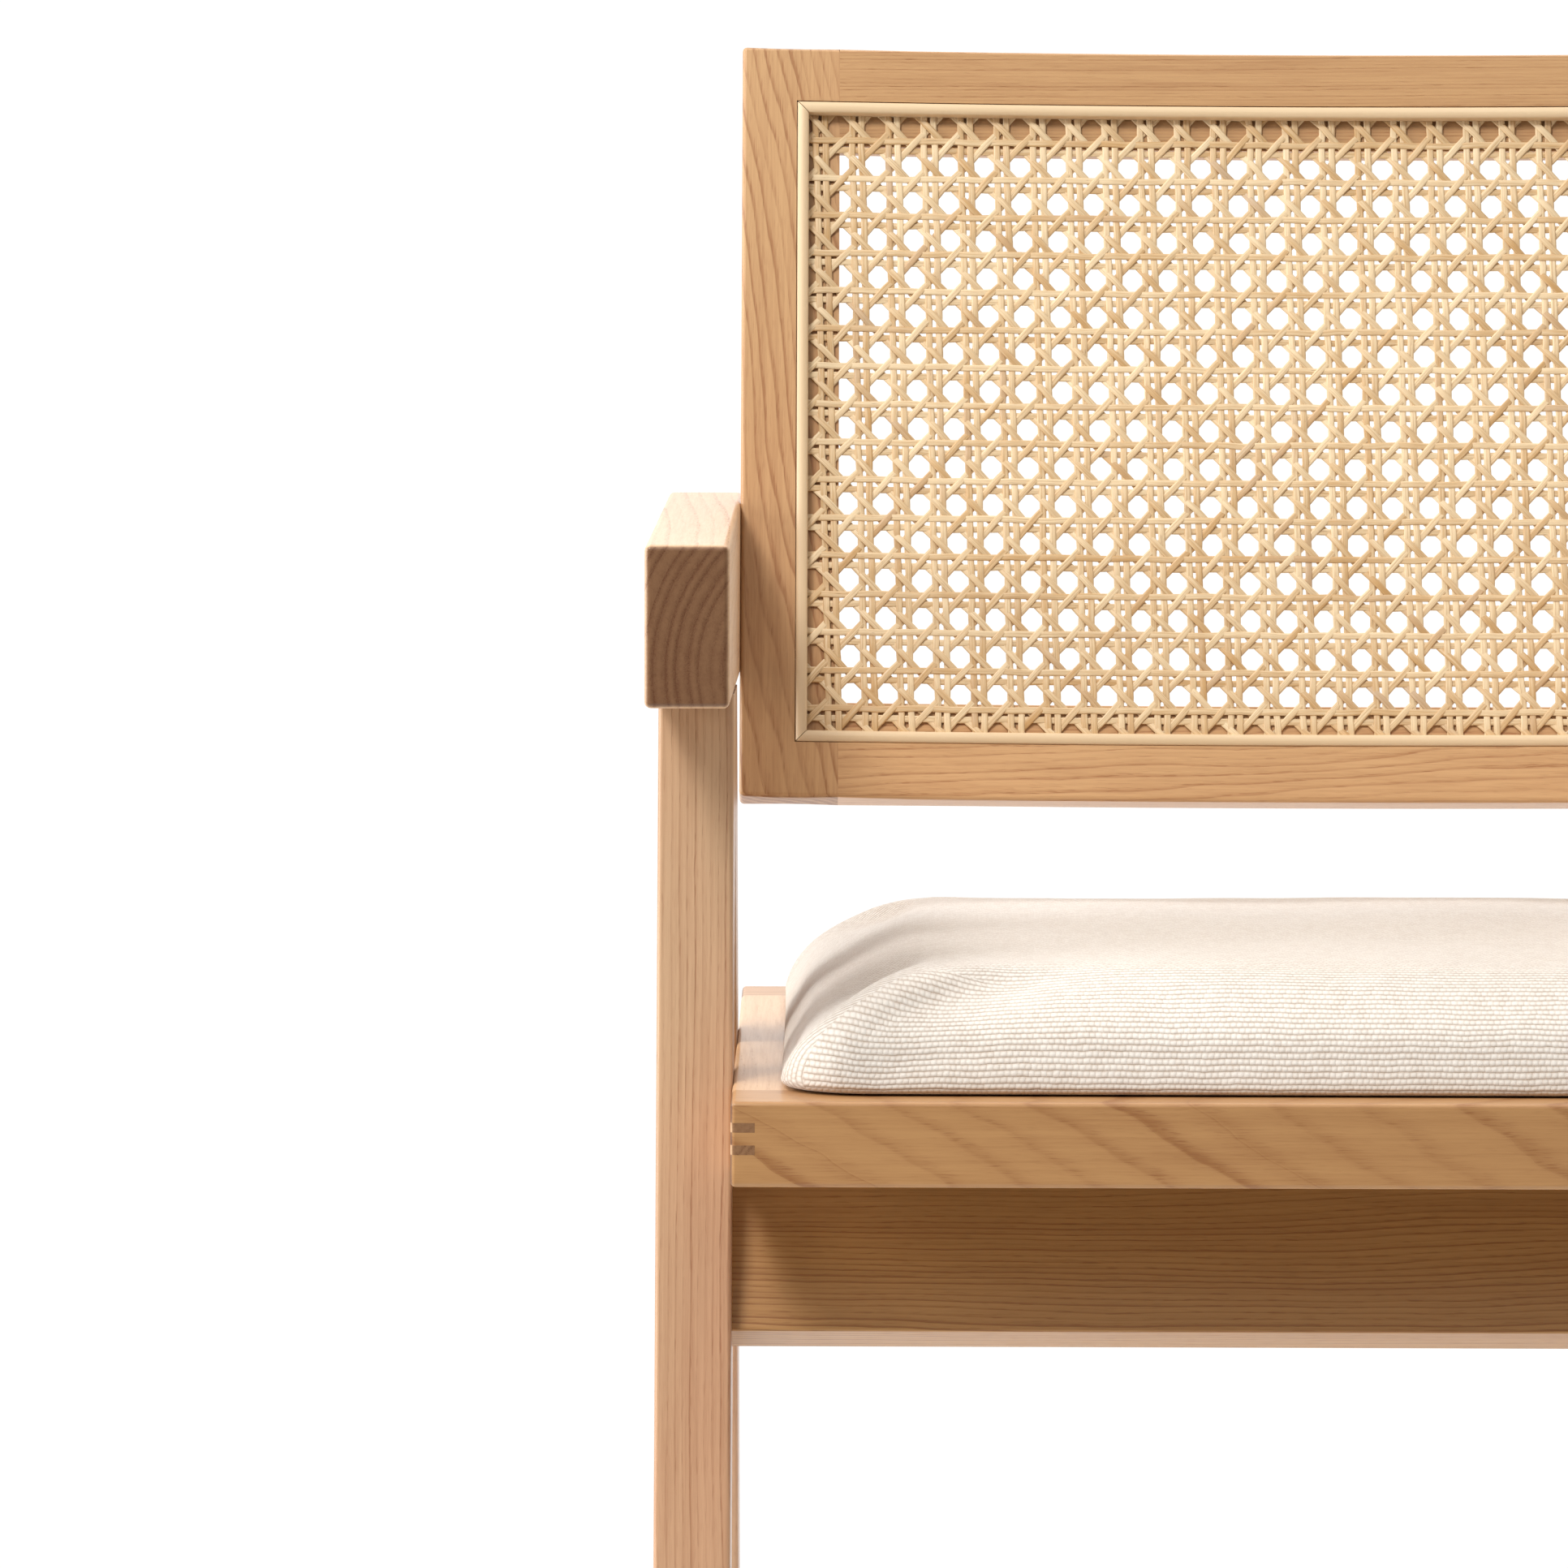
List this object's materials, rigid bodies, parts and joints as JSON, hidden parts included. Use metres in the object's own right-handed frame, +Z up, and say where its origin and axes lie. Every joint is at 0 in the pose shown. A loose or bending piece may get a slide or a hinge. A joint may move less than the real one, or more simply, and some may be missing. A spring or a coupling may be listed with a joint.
{
  "type": "wooden armchair",
  "caption": "Ash armchair with inverted-V side legs, flat arms, a reclined back with a cane panel, and an upholstered seat pad on an open frame.",
  "frame": {"origin": "on the floor under the centre of the overall box", "axes": "+Z up; the sitter faces -Y; +X is on the right of someone facing the chair, and left and right in the node names are as that person sees them"},
  "size_m": [0.542, 0.53, 0.8048],
  "materials": {
    "ash": "satin, light ash with open grain",
    "beech": "matt, turned or sawn",
    "plywood": "matt",
    "cane": "natural split rattan, satin",
    "reed": "natural rattan core, satin",
    "cream_cloth": "chunky ribbed weave, matt",
    "zinc_steel": "zinc plated",
    "glide_plastic": "matt"
  },
  "bodies": {
    "root": {"arm_left": "ash", "arm_right": "ash", "front_leg_left": "ash", "front_leg_right": "ash", "rear_leg_left": "ash", "rear_leg_right": "ash", "seat_front_rail": "ash", "seat_rear_rail": "ash", "seat_side_rail_left": "ash", "seat_side_rail_right": "ash", "corner_blocks": "beech", "seat_board": "plywood", "seat_pad": "cream_cloth", "stretcher": "ash", "back_stile_left": "ash", "back_stile_right": "ash", "back_top_rail": "ash", "back_bottom_rail": "ash", "cane_panel": "cane", "bead_top": "reed", "bead_bottom": "reed", "bead_left": "reed", "bead_right": "reed", "arm_dowels": "beech", "leg_dowels": "beech", "back_dowels": "beech", "stretcher_dowels": "beech", "seat_bolts": "zinc_steel", "back_bolts": "zinc_steel", "bolt_plugs": "ash", "board_screws": "zinc_steel", "foot_glides": "glide_plastic"}
  },
  "joints": []
}
